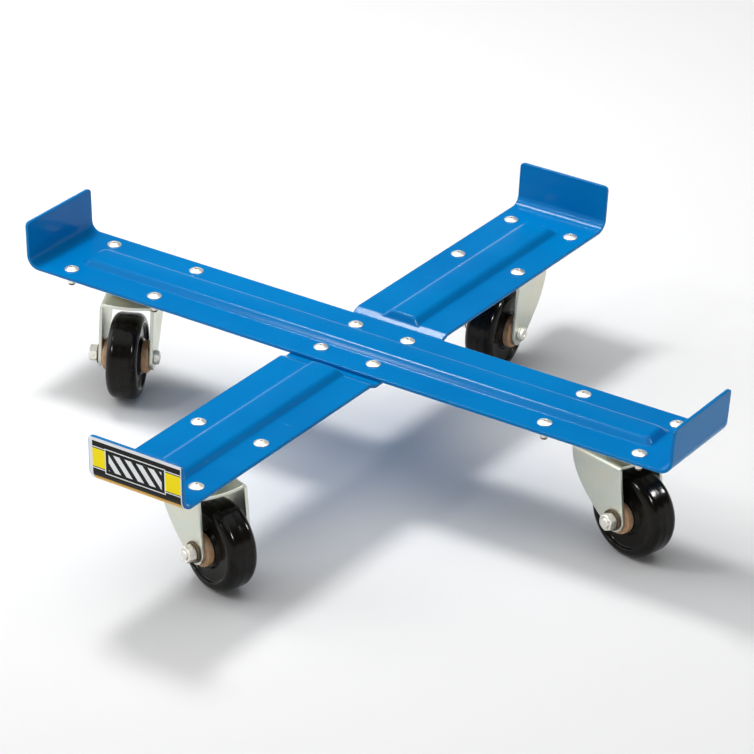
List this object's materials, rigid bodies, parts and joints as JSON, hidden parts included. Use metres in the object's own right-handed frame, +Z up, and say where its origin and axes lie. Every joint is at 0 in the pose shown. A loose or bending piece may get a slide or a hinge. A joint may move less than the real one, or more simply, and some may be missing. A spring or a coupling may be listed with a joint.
{
  "type": "wheel dolly",
  "caption": "Cross-shaped steel dolly for a tyre or a stack of wheels: two pressed arms with upturned ends, riveted across each other on swivel casters.",
  "frame": {"origin": "on the floor, under the crossing of the two arms", "axes": "+Z up, +X along the upper arm, +Y along the lower arm towards its end without a label"},
  "size_m": [0.642, 0.6425, 0.143],
  "materials": {
    "blue_paint": "smooth glossy blue powder coat",
    "zinc": "zinc-plated pressed steel, satin, slightly greenish",
    "bright_zinc": "bright plated rivets and axle bolts",
    "black_tread": "hard moulded black wheel, glossy",
    "brown_washer": "brown hard fibre",
    "label_film": "printed film with plain yellow and black bands"
  },
  "bodies": {
    "frame": {"upper_arm": "blue_paint", "lower_arm": "blue_paint", "end_label": "label_film", "centre_rivet_1": "bright_zinc", "centre_rivet_2": "bright_zinc", "centre_rivet_3": "bright_zinc", "centre_rivet_4": "bright_zinc", "left_plate_rivet_1": "bright_zinc", "left_plate_rivet_2": "bright_zinc", "left_plate_rivet_3": "bright_zinc", "left_plate_rivet_4": "bright_zinc", "left_top_plate": "zinc", "left_ball_race": "zinc", "left_kingpin": "zinc", "right_plate_rivet_1": "bright_zinc", "right_plate_rivet_2": "bright_zinc", "right_plate_rivet_3": "bright_zinc", "right_plate_rivet_4": "bright_zinc", "right_top_plate": "zinc", "right_ball_race": "zinc", "right_kingpin": "zinc", "front_plate_rivet_1": "bright_zinc", "front_plate_rivet_2": "bright_zinc", "front_plate_rivet_3": "bright_zinc", "front_plate_rivet_4": "bright_zinc", "front_top_plate": "zinc", "front_ball_race": "zinc", "front_kingpin": "zinc", "back_plate_rivet_1": "bright_zinc", "back_plate_rivet_2": "bright_zinc", "back_plate_rivet_3": "bright_zinc", "back_plate_rivet_4": "bright_zinc", "back_top_plate": "zinc", "back_ball_race": "zinc", "back_kingpin": "zinc"},
    "left_swivel": {"left_fork": "zinc", "left_axle_bolt": "bright_zinc", "left_axle_sleeve": "zinc"},
    "left_roller": {"left_wheel": "black_tread", "left_hub_washer_head_side": "brown_washer", "left_hub_washer_nut_side": "brown_washer"},
    "right_swivel": {"right_fork": "zinc", "right_axle_bolt": "bright_zinc", "right_axle_sleeve": "zinc"},
    "right_roller": {"right_wheel": "black_tread", "right_hub_washer_head_side": "brown_washer", "right_hub_washer_nut_side": "brown_washer"},
    "front_swivel": {"front_fork": "zinc", "front_axle_bolt": "bright_zinc", "front_axle_sleeve": "zinc"},
    "front_roller": {"front_wheel": "black_tread", "front_hub_washer_head_side": "brown_washer", "front_hub_washer_nut_side": "brown_washer"},
    "back_swivel": {"back_fork": "zinc", "back_axle_bolt": "bright_zinc", "back_axle_sleeve": "zinc"},
    "back_roller": {"back_wheel": "black_tread", "back_hub_washer_head_side": "brown_washer", "back_hub_washer_nut_side": "brown_washer"}
  },
  "joints": [
    {"name": "left_swivel_turn", "type": "hinge", "parent": "frame", "child": "left_swivel", "pos_m": [-0.238, 0, 0.09], "axis": [0, 0, 1], "continuous": true},
    {"name": "left_wheel_roll", "type": "hinge", "parent": "left_swivel", "child": "left_roller", "pos_m": [-0.22441, -0.02786, 0.0375], "axis": [0.8988, 0.4384, 0], "continuous": true},
    {"name": "right_swivel_turn", "type": "hinge", "parent": "frame", "child": "right_swivel", "pos_m": [0.238, 0, 0.09], "axis": [0, 0, 1], "continuous": true},
    {"name": "right_wheel_roll", "type": "hinge", "parent": "right_swivel", "child": "right_roller", "pos_m": [0.26794, -0.00802, 0.0375], "axis": [0.2588, 0.9659, 0], "continuous": true},
    {"name": "front_swivel_turn", "type": "hinge", "parent": "frame", "child": "front_swivel", "pos_m": [0, -0.238, 0.09], "axis": [0, 0, 1], "continuous": true},
    {"name": "front_wheel_roll", "type": "hinge", "parent": "front_swivel", "child": "front_roller", "pos_m": [0.02913, -0.2486, 0.0375], "axis": [0.342, 0.9397, 0], "continuous": true},
    {"name": "back_swivel_turn", "type": "hinge", "parent": "frame", "child": "back_swivel", "pos_m": [0, 0.238, 0.09], "axis": [0, 0, 1], "continuous": true},
    {"name": "back_wheel_roll", "type": "hinge", "parent": "back_swivel", "child": "back_roller", "pos_m": [0.0027, 0.20712, 0.0375], "axis": [0.9962, 0.0872, 0], "continuous": true}
  ]
}
